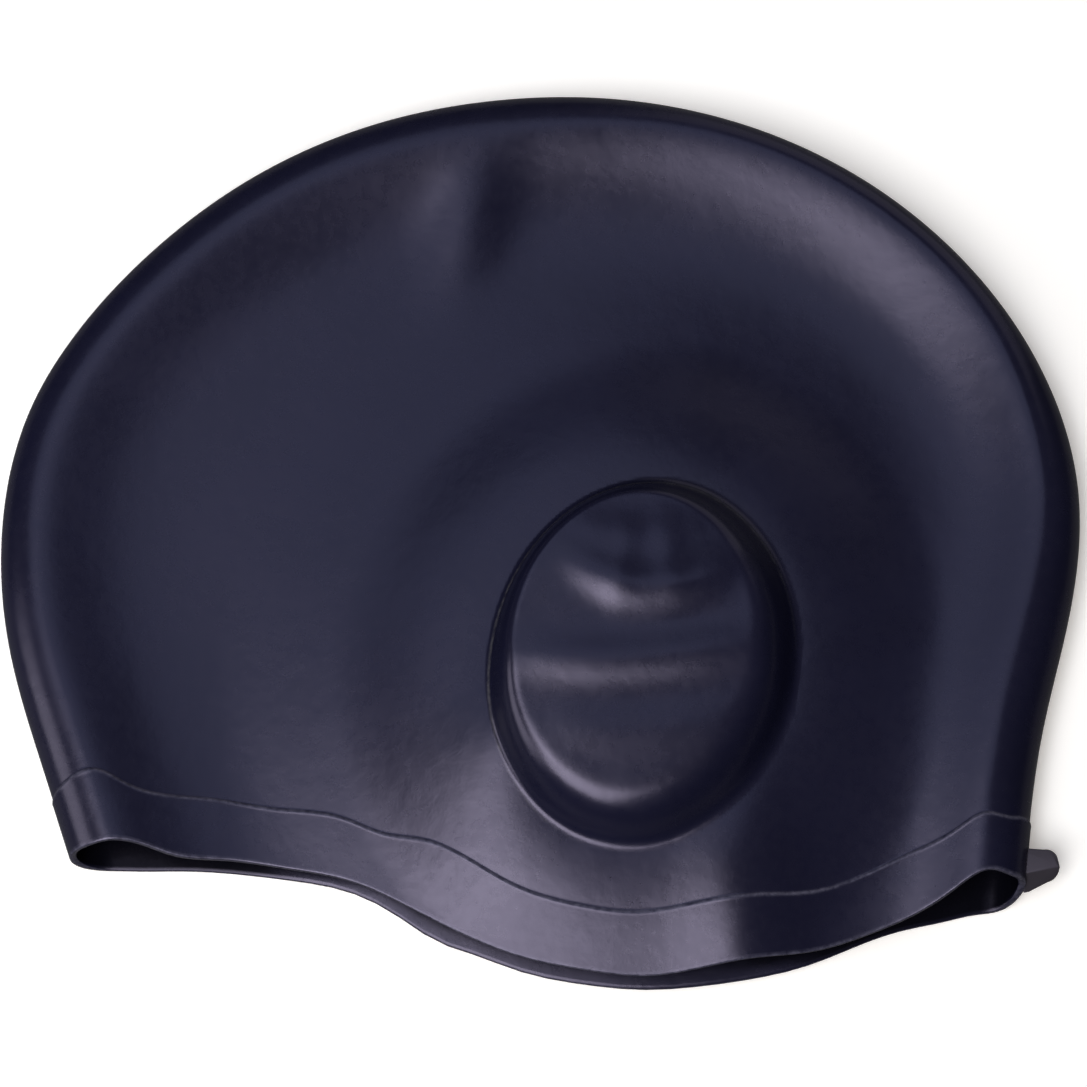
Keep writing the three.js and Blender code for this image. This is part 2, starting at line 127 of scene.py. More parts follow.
# Rim band: share of the line between the mouth's corners, and drops below that line, in shares of
# half the height, of the lower edge, the upper edge and the upper layer's band line.
RIM = np.array([
    (0, 0, 0, 0), (0.02, -0.006, -0.004, -0.026), (0.045, -0.009, -0.013, -0.044),
    (0.075, -0.01, -0.011, -0.021), (0.11, -0.013, 0.005, -0.005), (0.16, -0.012, 0.005, -0.005),
    (0.23, -0.001, 0.017, 0.011), (0.3, 0.026, 0.043, 0.029), (0.34, 0.065, 0.076, 0.061),
    (0.385, 0.12, 0.121, 0.079), (0.42, 0.143, 0.154, 0.112), (0.47, 0.176, 0.191, 0.172),
    (0.54, 0.2, 0.218, 0.216), (0.6, 0.206, 0.227, 0.227), (0.65, 0.197, 0.216, 0.213),
    (0.71, 0.176, 0.195, 0.195), (0.78, 0.136, 0.163, 0.166), (0.84, 0.083, 0.121, 0.115),
    (0.875, 0.058, 0.095, 0.084), (0.92, 0.035, 0.051, 0.048), (0.95, 0.019, 0.018, 0.02),
    (0.97, 0.014, 0.012, 0.024), (0.985, 0.011, 0.012, 0.016), (1, 0, 0, 0),
])
RIM_FADE = 60.0

# Where the roll is tighter at the crown's back: x, y and size, in shares of the half sizes.
CROWN_PLACE = (0.6, 0.7, 0.5)

# Soft bulges of the upper layer: x, y in shares of the half sizes, wide, tall in
# shares of the length, turn in degrees, rise in shares of the gap.
SWELLS = [
    (-0.13, 0.74, 0.036, 0.09, -12, 0.3),
    (0.37, -0.92, 0.055, 0.12, 0, 0.4),
    (-0.03, -0.5, 0.05, 0.06, 0, 0.25),
]

# Ripples of the upper pocket's top: x, y from its middle, long, wide and bow in shares of half its
# length, turn in degrees, rise in shares of the ripple height.
RIPPLES = [
    (0.1, 0.43, 0.55, 0.17, 0.2, 4, 1),
    (-0.03, -0.07, 0.8, 0.16, 0.06, 4, 1),
    (0, -0.56, 0.6, 0.18, 0.05, 3, 0.4),
    (-0.05, 0.8, 0.45, 0.14, 0.1, 0, 0.35),
    (-0.14, 0.62, 0.3, 0.1, 0, 80, 0.18),
    (0.17, 0.68, 0.3, 0.1, 0, 95, 0.18),
]

# Fineness of the meshes
FOLD_STEPS = 720
ROLL_COLUMNS = 18
MIDDLE_COLUMNS = 200
LOWER_COLUMNS = 60
POCKET_ROWS_FROM = 14.3
POCKET_ROWS_TO = 100.0
POCKET_ROW_STEP = 0.9
BODY_ROW_STEP = 2.2
RIM_ROWS = (0, 0.3, 0.8, 1.6)
BAND_ROWS_FROM = 2.8
BAND_ROW_STEP = 1.1
INNER_ROW_STRIDE = 2
CUT_STEPS = 6
SHORT_CHORD = 80.0

# Over the pocket the columns are closer: the middle of that part in shares of the chord, half its
# width, and by how much. Points on the pocket's wall are moved from shares of the crease's size.
CLOSE_COLUMNS = (0.6, 0.2, 0.8)
GATHER_FROM = (0, 0.3, 0.6, 0.86, 1.12, 1.2, 1.26)
GATHER_TO = (0, 0.365, 0.72, 0.885, 1.05, 1.145, 1.26)

# Painted highlights on the cut edge and the band's top line, and the depths in mm between which
# painted shade darkens the hollow, in the middle of the mouth and at its corners.
EDGE_HIGHLIGHT_WIDTH = 0.35
CUT_HIGHLIGHT = 0.6
MIDDLE_SHADE = (1.5, 4.5)
CORNER_SHADE = (-0.5, 0.5)
CORNERS = (0.3, 0.55)

# Colours: clouds, specks, painted edge and crease highlights, painted hollow shade, painted light on tab
DARK_NAVY = (0.0048, 0.005, 0.0155)
PALE_NAVY = (0.0062, 0.0065, 0.02)
SPECK_COLOUR = (0.009, 0.009, 0.021)
EDGE_HIGHLIGHT_COLOUR = (0.11, 0.105, 0.15)
CREASE_HIGHLIGHT_COLOUR = (0.1, 0.095, 0.1)
HOLLOW_SHADE_COLOUR = (0.002, 0.002, 0.004)
TAB_LIGHT_COLOUR = (0.032, 0.028, 0.034)

# Painted highlight round the pocket's crease: its place and width in shares of the crease's half
# sizes, and the side on which it shows.
CREASE_LINE_PLACE = 1.012
CREASE_LINE_WIDTH = 0.014
CREASE_LINE_SIDE = (-0.6, 0.5, 0)

# Colours of the table towards the cap and towards the camera, and its glow in the camera
TABLE_TO_CAP = (0.15, 0.145, 0.145)
TABLE_TO_CAMERA = (0.92, 0.908, 0.895)
TABLE_GLOW = 0.3

# Camera: angle above the table, the point that it looks at and its distance in metres, and lens
CAMERA_ELEVATION = math.radians(75)
CAMERA_TARGET = (0.0006, -0.0036, 0.007)
CAMERA_DISTANCE = 0.7
CAMERA_LENS = 106.3

# Softboxes: name, direction from the cap, distance, size, radiance and colour
SOFTBOXES = [
    ("key", (-0.27, -0.44, 0.86), 1.5, 0.85, 7.3, (1, 1, 1)),
    ("crown", (-0.28, -0.1, 0.95), 1.5, 0.5, 3.2, (1, 1, 1)),
    ("left", (-0.84, -0.22, 0.48), 1.5, 0.75, 3.0, (1, 1, 1)),
    ("overhead", (-0.2, 0.3, 0.93), 1.6, 1.05, 0.86, (0.66, 0.79, 1)),
    ("back", (0.45, 0.8, 0.4), 2.0, 1.6, 0.4, (1, 1, 1)),
]


def smoothstep(x, low, high):
    """Level-ended ramp from 0 at low to 1 at high."""
    t = np.clip((x - low) / (high - low), 0, 1)
    return t * t * (3 - 2 * t)


def mix(a, b, t):
    return a + (b - a) * t


def spline(xs, ys):
    """Natural cubic spline through points, as a function of an array."""
    xs, ys = np.asarray(xs, float), np.asarray(ys, float)
    steps = np.diff(xs)
    size = len(xs)
    system = np.eye(size)
    right = np.zeros(size)
    for i in range(1, size - 1):
        system[i, i - 1:i + 2] = steps[i - 1], 2 * (steps[i - 1] + steps[i]), steps[i]
        right[i] = 6 * ((ys[i + 1] - ys[i]) / steps[i] - (ys[i] - ys[i - 1]) / steps[i - 1])
    bend = np.linalg.solve(system, right)

    def at(x):
        k = np.clip(np.searchsorted(xs, x, side="right") - 1, 0, size - 2)
        step = steps[k]
        a = (xs[k + 1] - x) / step
        b = 1 - a
        curve = (a ** 3 - a) * bend[k] + (b ** 3 - b) * bend[k + 1]
        return a * ys[k] + b * ys[k + 1] + curve * step * step / 6

    return at


def running_lengths(points):
    return np.concatenate([[0], np.cumsum(np.linalg.norm(np.diff(points, axis=0), axis=1))])


def make_fold_line():
    """Close points of the fold line, with the length run at each."""
    knots = OUTLINE * (HALF_LENGTH, HALF_HEIGHT)
    at = running_lengths(knots)
    s = np.linspace(0, at[-1], FOLD_STEPS + 1)
    points = np.stack([spline(at, knots[:, 0])(s), spline(at, knots[:, 1])(s)], axis=1)
    return points, running_lengths(points)


FOLD_POINTS, FOLD_LENGTHS = make_fold_line()
FOLD_LENGTH = FOLD_LENGTHS[-1]
LOWER_EDGE, UPPER_EDGE, UPPER_LINE = (spline(RIM[:, 0], RIM[:, k] * HALF_HEIGHT) for k in (1, 2, 3))


def fold_at(length):
    """Points of the fold line at lengths from the mouth's front corner."""
    x = np.interp(length, FOLD_LENGTHS, FOLD_POINTS[:, 0])
    y = np.interp(length, FOLD_LENGTHS, FOLD_POINTS[:, 1])
    return np.stack([x, y], axis=-1)


def fold_path():
    """The fold line run straight on past both corners of the mouth."""
    def run_on(corner, following):
        way = corner - following
        return corner + way * HALF_HEIGHT / np.linalg.norm(way)
    before = run_on(FOLD_POINTS[0], FOLD_POINTS[1])
    after = run_on(FOLD_POINTS[-1], FOLD_POINTS[-2])
    return np.concatenate([[before], FOLD_POINTS, [after]])


def fold_distance(plan):
    """Plan distance to the fold line for a grid of points, worked out a row at a time."""
    path = fold_path()
    start, way = path[:-1], np.diff(path, axis=0)
    square = (way ** 2).sum(axis=1)
    rows = []
    for row in plan:
        off = row[:, None] - start
        t = np.clip((off * way).sum(axis=2) / square, 0, 1)
        rows.append(np.linalg.norm(off - t[..., None] * way, axis=2).min(axis=1))
    return np.array(rows)


def pocket_axes(plan):
    """Points in the pocket's own axes: u across it and v along it."""
    dx = plan[..., 0] - POCKET_CENTRE[0]
    dy = plan[..., 1] - POCKET_CENTRE[1]
    cos, sin = math.cos(POCKET_TURN), math.sin(POCKET_TURN)
    return dx * cos - dy * sin, dx * sin + dy * cos


def pocket_plan(u, v):
    cos, sin = math.cos(POCKET_TURN), math.sin(POCKET_TURN)
    x = POCKET_CENTRE[0] + u * cos + v * sin
    y = POCKET_CENTRE[1] - u * sin + v * cos
    return np.stack([x, y], axis=-1)


def beyond_pocket(plan):
    """Distance outside the pocket's crease along the line from its middle, 0 inside it."""
    u, v = pocket_axes(plan)
    out = np.maximum(np.hypot(u, v), 1e-9)
    share = np.hypot(2 * u / POCKET_WIDTH, 2 * v / POCKET_LENGTH)
    return np.maximum(0, out - out / np.maximum(share, 1e-9))


def mound_at(plan, height, reach):
    """A rise round the pocket that fades out over its reach."""
    away = beyond_pocket(plan) / reach
    return height * np.where(away < 1, (1 - away ** 2) ** 2, 0)


def swell_at(plan):
    rise = np.zeros(plan.shape[:-1])
    for x, y, wide, tall, turn, height in SWELLS:
        cos, sin = math.cos(math.radians(turn)), math.sin(math.radians(turn))
        dx = plan[..., 0] - x * HALF_LENGTH
        dy = plan[..., 1] - y * HALF_HEIGHT
        across = (dx * cos + dy * sin) / (wide * CAP_LENGTH)
        along = (dy * cos - dx * sin) / (tall * CAP_LENGTH)
        rise += height * LAYER_GAP * np.exp(-across ** 2 - along ** 2)
    return rise


def fold_half_height(x):
    return mix(FRONT_FOLD_HEIGHT, BACK_FOLD_HEIGHT, smoothstep(x, -HALF_LENGTH, HALF_LENGTH)) / 2


def roll_shape(plan):
    """Reach and fade of the upper layer's roll, which is tighter at the crown's back."""
    x, y, size = CROWN_PLACE
    away = np.hypot(plan[..., 0] / HALF_LENGTH - x, plan[..., 1] / HALF_HEIGHT - y) / size
    share = np.exp(-away ** 4)
    fade = mix(FRONT_FADE, BACK_FADE, smoothstep(plan[..., 0], -HALF_LENGTH, HALF_LENGTH))
    return mix(UPPER_ROLL_REACH, CROWN_ROLL_REACH, share), mix(fade, CROWN_FADE, share)


def layers_at(plan, distance):
    """Outer heights of the lower and the upper layer, and the middle height of the fold."""
    half = fold_half_height(plan[..., 0])

    def roll(reach):
        return half * np.sqrt(1 - np.maximum(0, 1 - distance / reach) ** 2)

    reach, fade = roll_shape(plan)
    past = np.maximum(0, distance - reach) / fade
    sunk = (2 * half - FLAT_HEIGHT - swell_at(plan)) * (1 - np.exp(-past ** FADE_POWER))
    lift = mound_at(plan, LOWER_POCKET_DEPTH, LIFT_REACH)
    lower = half - roll(LOWER_ROLL_REACH) + lift
    upper = half + roll(reach) - sunk + lift + mound_at(plan, MOUND_HEIGHT, MOUND_REACH)
    return lower, upper, half + lift


def pocket_share(u, v):
    """Place of each point on the pocket's wall: 0 on its crease, 1 on the outline of its top."""
    low = np.full(u.shape, -0.6)
    high = np.full(u.shape, 1.0)
    for _ in range(40):
        t = (low + high) / 2
        across = (u + POCKET_TOP_SHIFT * t) / (mix(POCKET_WIDTH, POCKET_TOP_WIDTH, t) / 2)
        along = (v - POCKET_TOP_RISE * t) / (mix(POCKET_LENGTH, POCKET_TOP_LENGTH, t) / 2)
        inside = across ** 2 + along ** 2 < 1
        low = np.where(inside, t, low)
        high = np.where(inside, high, t)
    return (low + high) / 2


def pocket_rise(u, v):
    """Share of the pocket's depth at each point, with a small fillet in the crease."""
    t = pocket_share(u, v)
    t = (t + np.sqrt(t ** 2 + CREASE_FILLET ** 2)) / 2
    t = np.where(t > 0.99, 1, t - CREASE_FILLET ** 2 / 4 / np.maximum(t, CREASE_FILLET))
    power = mix(MOUTH_WALL_POWER, CROWN_WALL_POWER, smoothstep(v, 0, POCKET_LENGTH / 2))
    return 1 - (1 - np.clip(t, 0, 1)) ** power


def ripple_at(plan):
    rise = np.zeros(plan.shape[:-1])
    size = POCKET_TOP_LENGTH / 2
    for x, y, long, wide, bow, turn, height in RIPPLES:
        cos, sin = math.cos(math.radians(turn)), math.sin(math.radians(turn))
        dx = (plan[..., 0] - POCKET_CENTRE[0]) / size - x
        dy = (plan[..., 1] - POCKET_CENTRE[1]) / size - y
        along = (dx * cos + dy * sin) / long
        across = (dy * cos - dx * sin - bow * along ** 2) / wide
        rise += height * RIPPLE_HEIGHT * np.exp(-across ** 2 - along ** 4)
    return rise


def gather_at_wall(plan):
    """Moves points along the lines from the pocket's middle, so that more of them lie on its wall."""
    u, v = pocket_axes(plan)
    share = np.hypot(2 * u / POCKET_WIDTH, 2 * v / POCKET_LENGTH)
    gathered = spline(GATHER_FROM, GATHER_TO)(np.minimum(share, GATHER_FROM[-1]))
    moved = np.where(share < GATHER_FROM[-1], gathered, share)
    scale = moved / np.maximum(share, 1e-9)
    return pocket_plan(u * scale, v * scale)


def make_lengths():
    """Rows of the skin by their length along the fold from the mouth's corners."""
    step = BAND_EDGE / 4
    edge = BAND_WIDTH + np.arange(-6, 7) * step
    band = np.concatenate([RIM_ROWS, np.arange(BAND_ROWS_FROM, edge[0] - 0.5, BAND_ROW_STEP)])
    pocket = np.arange(POCKET_ROWS_FROM, POCKET_ROWS_TO, POCKET_ROW_STEP)
    rest = FOLD_LENGTH / 2 - pocket[-1]
    count = int(rest / BODY_ROW_STEP)
    body = pocket[-1] + rest * np.arange(1, count) / count
    return np.concatenate([band, edge, pocket, body])


def make_along(chords):
    """Shares of each row's chord for its columns: close on both rolls, closer over the pocket."""
    angle = np.linspace(0, math.pi / 2, ROLL_COLUMNS + 1)
    reach = UPPER_ROLL_REACH * np.tanh(chords / SHORT_CHORD) / chords
    front = reach[:, None] * (1 - np.cos(angle))
    centre, half, more = CLOSE_COLUMNS
    place = np.linspace(0, 1, 2 * MIDDLE_COLUMNS)
    density = 1 + more * np.exp(-((place - centre) / half) ** 4)
    run = np.concatenate([[0], np.cumsum((density[1:] + density[:-1]) / 2)])
    inner = np.interp(np.linspace(0, 1, MIDDLE_COLUMNS + 1)[1:-1], run / run[-1], place)
    middle = reach[:, None] + (1 - 2 * reach[:, None]) * inner
    return np.concatenate([front, middle, 1 - front[:, ::-1]], axis=1)


def shell_plan(lengths, along, edge, line):
    """Plan points of rows and columns, and how far each row still follows the rim's curve."""
    front = fold_at(lengths)[:, None]
    back = fold_at(FOLD_LENGTH - lengths)[:, None]
    hold = 1 - smoothstep(lengths, BAND_WIDTH, FOLD_LENGTH / 2 * RIM_SHARE)[:, None]
    plan = mix(front, back, along[..., None])
    plan[..., 1] -= LOWER_EDGE(along) * hold
    share = np.minimum(lengths / BAND_WIDTH, 1)[:, None]
    fade = 1 - smoothstep(lengths, BAND_WIDTH, BAND_WIDTH + RIM_FADE)[:, None]
    plan[..., 1] -= (mix(edge(along), line(along), share) - LOWER_EDGE(along)) * fade
    return plan, hold


def set_back(plan, height, middle, hold):
    """Slants the mouth, so that its edge leans back over the upper layer."""
    half = fold_half_height(plan[..., 0])
    share = smoothstep(plan[..., 0], -HALF_LENGTH, HALF_LENGTH)
    slant = (height - middle) / half
    return plan[..., 1] + mix(FRONT_SET_BACK, BACK_SET_BACK, share) * slant * hold


def make_upper(lengths, along):
    plan, hold = shell_plan(lengths, along, UPPER_EDGE, UPPER_LINE)
    plan = gather_at_wall(plan)
    _, upper, middle = layers_at(plan, fold_distance(plan))
    u, v = pocket_axes(plan)
    centre = np.array([[POCKET_CENTRE]])
    _, foot, _ = layers_at(centre, fold_distance(centre))
    top = foot[0, 0] + UPPER_POCKET_DEPTH + POCKET_TILT * v + ripple_at(plan)
    top -= POCKET_TOP_DROOP * smoothstep(v, POCKET_TOP_LENGTH / 5, POCKET_LENGTH / 2)
    height = mix(upper, top, pocket_rise(u, v))
    return np.stack([plan[..., 0], set_back(plan, upper, middle, hold), height], axis=-1)


def make_lower(lengths, along):
    plan, hold = shell_plan(lengths, along, LOWER_EDGE, LOWER_EDGE)
    lower, _, middle = layers_at(plan, fold_distance(plan))
    height = lower * (1 - pocket_rise(*pocket_axes(plan)))
    return np.stack([plan[..., 0], set_back(plan, lower, middle, hold), height], axis=-1)


def band_bulge(lengths):
    """How far the rim band and the bead on its top line stand out."""
    step = BAND_STEP * (1 - smoothstep(lengths, BAND_WIDTH - BAND_EDGE / 2, BAND_WIDTH + BAND_EDGE / 2))
    return step + BEAD_HEIGHT * np.exp(-((lengths - BAND_WIDTH) / BEAD_WIDTH) ** 2)


def wall_at(lengths):
    return mix(BAND_WALL, WALL, smoothstep(lengths, BAND_WIDTH - BAND_EDGE, BAND_WIDTH + BAND_EDGE))


def outward_of(points, pole):
    """Outward direction at each point of rings that run over the upper layer and back under."""
    round_way = np.roll(points, -1, axis=1) - np.roll(points, 1, axis=1)
    above = np.concatenate([points[1:], np.broadcast_to(pole, points[:1].shape)])
    below = np.concatenate([points[:1], points[:-1]])
    outward = np.cross(round_way, above - below)
    return outward / np.linalg.norm(outward, axis=2, keepdims=True)


def cut_edge(outer, inner):
    """Rings round the mouth's cut edge, rounded outwards, from the outer wall to the inner one."""
    out_of_mouth = outer[0] - outer[2]
    out_of_mouth /= np.linalg.norm(out_of_mouth, axis=1, keepdims=True)
    rings = []
    for k in range(1, CUT_STEPS):
        share = (1 - math.cos(math.pi * k / CUT_STEPS)) / 2
        swell = CUT_ROUNDING * math.sqrt(1 - (2 * share - 1) ** 2)
        rings.append(mix(outer[0], inner[0], share) + out_of_mouth * swell)
    return rings


def skin_faces(rings, count):
    """Quads between rings of points, and triangles that close the outer and the inner crown."""
    j = np.arange(count)
    a = np.arange(rings - 1)[:, None] * count + j
    b = np.arange(rings - 1)[:, None] * count + (j + 1) % count
    quads = np.stack([a, b, b + count, a + count], axis=-1).reshape(-1, 4)
    faces = [tuple(quad) for quad in quads]
    outer_pole, inner_pole = rings * count, rings * count + 1
    last = (rings - 1) * count
    for j in range(count):
        after = (j + 1) % count
        faces.append((outer_pole, after, j))
        faces.append((last + j, last + after, inner_pole))
    return faces


def painted_edge_highlights(lengths, inner_count, count):
    """How much painted highlight each point gets: most on the band's top line and the cut edge, none
    inside.
    """
    marks = np.exp(-((lengths - BAND_WIDTH) / EDGE_HIGHLIGHT_WIDTH) ** 2)
    marks += np.exp(-(lengths / EDGE_HIGHLIGHT_WIDTH) ** 2)
    marks = np.concatenate([marks[::-1], np.full(CUT_STEPS - 1, CUT_HIGHLIGHT), np.zeros(inner_count)])
    return np.append(np.repeat(marks, count), [0, 0])


def hollow_shade_marks(lengths, inner, inner_rows):
    """How much painted shade each point gets: none outside, and full a little way into the hollow."""
    corner = smoothstep(np.abs(inner[..., 0]) / HALF_LENGTH, *CORNERS)
    start, end = (mix(MIDDLE_SHADE[k], CORNER_SHADE[k], corner) for k in (0, 1))
    shade = smoothstep(lengths[inner_rows][:, None], start, end)
    outside = np.zeros((len(lengths) + CUT_STEPS - 1) * inner.shape[1])
    return np.concatenate([outside, shade.ravel(), [0, 1]])


def make_skin():
    """Points, faces and marks of the whole skin: outside, cut edge and inside."""
    lengths = make_lengths()
    chords = np.linalg.norm(fold_at(lengths) - fold_at(FOLD_LENGTH - lengths), axis=1)
    upper = make_upper(lengths, make_along(chords))
    turn = np.linspace(0, math.pi, LOWER_COLUMNS + 1)[1:-1]
    lower_along = np.broadcast_to((1 + np.cos(turn)) / 2, (len(lengths), len(turn)))
    base = np.concatenate([upper, make_lower(lengths, lower_along)], axis=1)
    crown = fold_at(np.array([FOLD_LENGTH / 2]))
    pole = np.append(crown[0], layers_at(crown[None], np.zeros((1, 1)))[2][0, 0])
    outward = outward_of(base, pole)
    bulge = band_bulge(lengths)[:, None, None]
    outer = base + outward * bulge
    outer[..., 2] = np.maximum(outer[..., 2], 0)
    inner_rows = np.concatenate([[0, 2], np.arange(4, len(lengths), INNER_ROW_STRIDE)])
    inner = (base + outward * (bulge - wall_at(lengths)[:, None, None]))[inner_rows]
    rings = np.concatenate([outer[::-1], cut_edge(outer, inner), inner])
    points = np.concatenate([rings.reshape(-1, 3), [pole, pole - [0, WALL, 0]]])
    count = base.shape[1]
    marks = {
        # Painted highlights on the thin edges
        "edge_highlight": painted_edge_highlights(lengths, len(inner_rows), count),
        # Painted shade deep in the hollow
        "inside": hollow_shade_marks(lengths, inner, inner_rows),
    }
    return points, skin_faces(len(rings), count), marks


def shift_into_frame(points):
    """Shift that centres the skin's box on the solid's box and stands it on the table."""
    low, high = (np.array(corner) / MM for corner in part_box("cap"))
    shift = (low + high) / 2 - (points.min(axis=0) + points.max(axis=0)) / 2
    shift[2] = low[2] - points[:, 2].min()
    return shift


def mesh_object(name, points, faces, marks, material):
    """A smooth mesh object from points in millimetres, with its marks as attributes."""
    mesh = bpy.data.meshes.new(name)
    mesh.from_pydata((points * MM).tolist(), [], faces)
    mesh.update()
    bm = bmesh.new()
    bm.from_mesh(mesh)
    bmesh.ops.recalc_face_normals(bm, faces=bm.faces)
    bm.to_mesh(mesh)
    bm.free()
    for mark, values in marks.items():
        attribute = mesh.attributes.new(mark, "FLOAT", "POINT")
        attribute.data.foreach_set("value", values.astype(np.float32))
    mesh.shade_smooth()
    mesh.materials.append(material)
    piece = bpy.data.objects.new(name, mesh)
    bpy.context.scene.collection.objects.link(piece)
    return piece


def add_tab(material, shift):
    """Pull tab: a tongue with a rounded tip, whose face towards the mouth is bevelled."""
    half_root, half_tip = TAB_ROOT_WIDTH / 2, TAB_TIP_WIDTH / 2
    shoulder = TAB_LENGTH - TAB_TIP_RADIUS
    outline = [(-TAB_ROOT_DEPTH, -half_root), (0, -half_root)]
    for k in range(9):
        turn = math.pi / 2 * k / 8
        across = TAB_TIP_RADIUS - half_tip - TAB_TIP_RADIUS * math.cos(turn)
        outline.append((shoulder + TAB_TIP_RADIUS * math.sin(turn), across))
    for x, y in reversed(outline[2:]):
        outline.append((x, -y))
    outline += [(0, half_root), (-TAB_ROOT_DEPTH, half_root)]
    bm = bmesh.new()
    loop = [bm.verts.new((x, y, -TAB_THICKNESS / 2)) for x, y in outline]
    base = bm.faces.new(loop)
    grown = bmesh.ops.extrude_face_region(bm, geom=[base])
    raised = [g for g in grown["geom"] if isinstance(g, bmesh.types.BMVert)]
    bmesh.ops.translate(bm, verts=raised, vec=(0, 0, TAB_THICKNESS))
    slope = Vector((0, -TAB_THICKNESS, TAB_BEVEL)).normalized()
    everything = bm.verts[:] + bm.edges[:] + bm.faces[:]
    corner = (0, -half_root, -TAB_THICKNESS / 2)
    cut = bmesh.ops.bisect_plane(bm, geom=everything, plane_co=corner, plane_no=slope, clear_outer=True)
    bmesh.ops.contextual_create(bm, geom=[g for g in cut["geom_cut"] if isinstance(g, bmesh.types.BMEdge)])
    bmesh.ops.recalc_face_normals(bm, faces=bm.faces)
    bmesh.ops.bevel(bm, geom=bm.edges[:], offset=TAB_EDGE_ROUND, segments=3, profile=0.6, affect="EDGES")
    seat = fold_at(FOLD_LENGTH - TAB_FROM_CORNER)
    along = seat - fold_at(FOLD_LENGTH)
    turn = math.atan2(along[1], along[0]) - math.pi / 2 + TAB_LEAN
    height = layers_at(seat[None, None], np.zeros((1, 1)))[2][0, 0]
    place = Vector((*seat, height)) + Vector(shift)
    bm.transform(Matrix.Scale(MM, 4) @ Matrix.Translation(place) @ Matrix.Rotation(turn, 4, "Z"))
    mesh = bpy.data.meshes.new("pull_tab")
    bm.to_mesh(mesh)
    bm.free()
    # Mark of the pull tab: it is painted paler for the light that it catches, and made rougher
    tab_light_and_roughness = mesh.attributes.new("tab_light_and_roughness", "FLOAT", "POINT")
    tab_light_and_roughness.data.foreach_set("value", np.ones(len(mesh.vertices), np.float32))
    mesh.shade_smooth()
    mesh.materials.append(material)
    tab = bpy.data.objects.new("pull_tab", mesh)
    bpy.context.scene.collection.objects.link(tab)
    return tab


class Shading:
    """Nodes of a material, with short ways to add and join them."""

    def __init__(self, material):
        material.use_nodes = True
        self.nodes, self.links = material.node_tree.nodes, material.node_tree.links
        self.shader = self.nodes["Principled BSDF"]
        self.place = self.nodes.new("ShaderNodeTexCoord").outputs["Object"]

    def noise(self, scale, detail, roughness=0.5):
        node = self.nodes.new("ShaderNodeTexNoise")
        node.inputs["Scale"].default_value = scale
        node.inputs["Detail"].default_value = detail
        node.inputs["Roughness"].default_value = roughness
        self.links.new(self.place, node.inputs["Vector"])
        return node.outputs["Fac"]

    def attribute(self, name):
        node = self.nodes.new("ShaderNodeAttribute")
        node.attribute_name = name
        return node.outputs["Fac"]

    def spread(self, value, low, high, from_low=0.3, from_high=0.7):
        """A value between two limits, spread over the range from low to high."""
        node = self.nodes.new("ShaderNodeMapRange")
        limits = {"From Min": from_low, "From Max": from_high, "To Min": low, "To Max": high}
        for name, number in limits.items():
            node.inputs[name].default_value = number
        self.links.new(value, node.inputs["Value"])
        return node.outputs["Result"]

    def blend(self, factor, a, b):
        """Colour a where the factor is 0 and colour b where it is 1."""
        node = self.nodes.new("ShaderNodeMix")
        node.data_type = "RGBA"
        for socket, colour in ((node.inputs[6], a), (node.inputs[7], b)):
            if isinstance(colour, tuple):
                socket.default_value = (*colour, 1)
            else:
                self.links.new(colour, socket)
        self.links.new(factor, node.inputs[0])
        return node.outputs[2]

    def combine(self, operation, a, b):
        node = self.nodes.new("ShaderNodeMath")
        node.operation = operation
        for socket, value in zip(node.inputs, (a, b)):
            if isinstance(value, (int, float)):
                socket.default_value = value
            else:
                self.links.new(value, socket)
        return node.outputs[0]

    def vector_math(self, operation, vector, other=(0, 0, 0)):
        node = self.nodes.new("ShaderNodeVectorMath")
        node.operation = operation
        node.inputs[1].default_value = other
        self.links.new(vector, node.inputs[0])
        return node.outputs


def crease_highlight(shading, crease):
    """Share of the broken painted highlight round the upper pocket's crease, whose middle is at crease."""
    ring = shading.nodes.new("ShaderNodeMapping")
    ring.vector_type = "TEXTURE"
    ring.inputs["Location"].default_value = (*crease, 0)
    ring.inputs["Rotation"].default_value = (0, 0, -POCKET_TURN)
    ring.inputs["Scale"].default_value = (POCKET_WIDTH / 2 * MM, POCKET_LENGTH / 2 * MM, 1)
    shading.links.new(shading.place, ring.inputs["Vector"])
    place = ring.outputs["Vector"]
    flat = shading.vector_math("MULTIPLY", place, (1, 1, 0))["Vector"]
    size = shading.vector_math("LENGTH", flat)["Value"]
    side = shading.vector_math("DOT_PRODUCT", place, CREASE_LINE_SIDE)["Value"]
    away = shading.combine("ABSOLUTE", shading.combine("SUBTRACT", size, CREASE_LINE_PLACE), 0)
    line = shading.spread(away, 1, 0, 0.001, CREASE_LINE_WIDTH)
    line = shading.combine("MULTIPLY", line, shading.spread(side, 0, 1, -0.5, 0.4))
    return shading.combine("MULTIPLY", line, shading.spread(shading.noise(600, 2), 0.1, 0.6))


